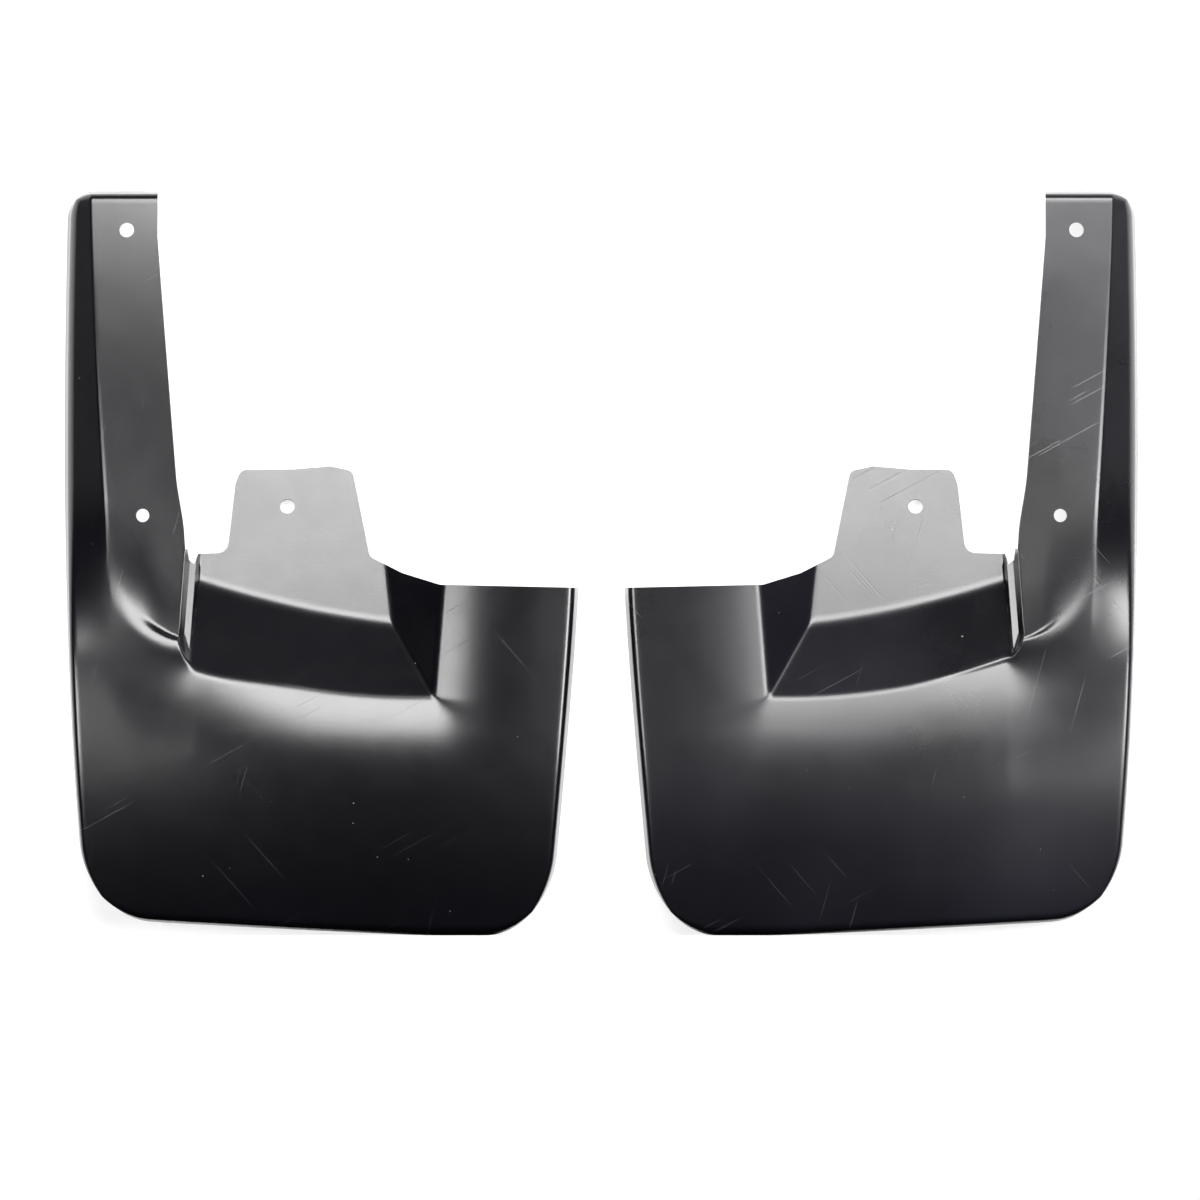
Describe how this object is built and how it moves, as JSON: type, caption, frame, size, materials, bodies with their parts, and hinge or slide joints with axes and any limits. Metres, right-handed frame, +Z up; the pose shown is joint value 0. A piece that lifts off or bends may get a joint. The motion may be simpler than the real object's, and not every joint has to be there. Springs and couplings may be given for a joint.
{
  "type": "mud flap",
  "caption": "Left and right moulded mud flaps for a pickup: curved panel, tall fixing arm, recessed fixing tab and return rim on each.",
  "frame": {"origin": "middle of the pair, at the height of the lowest edge and half way through the depth", "axes": "+X towards the right flap as seen from behind the vehicle, +Y forwards, from the outer face towards the wheel, +Z up"},
  "size_m": [0.6534, 0.0621, 0.453],
  "materials": {
    "flap_plastic": "satin black moulded plastic"
  },
  "bodies": {
    "left_flap": {"left_mud_flap": "flap_plastic"},
    "right_flap": {"right_mud_flap": "flap_plastic"}
  },
  "joints": [
    {"name": "flap_spacing", "type": "slide", "parent": "left_flap", "child": "right_flap", "axis": [1, 0, 0], "range_m": [0, 1.15]}
  ]
}
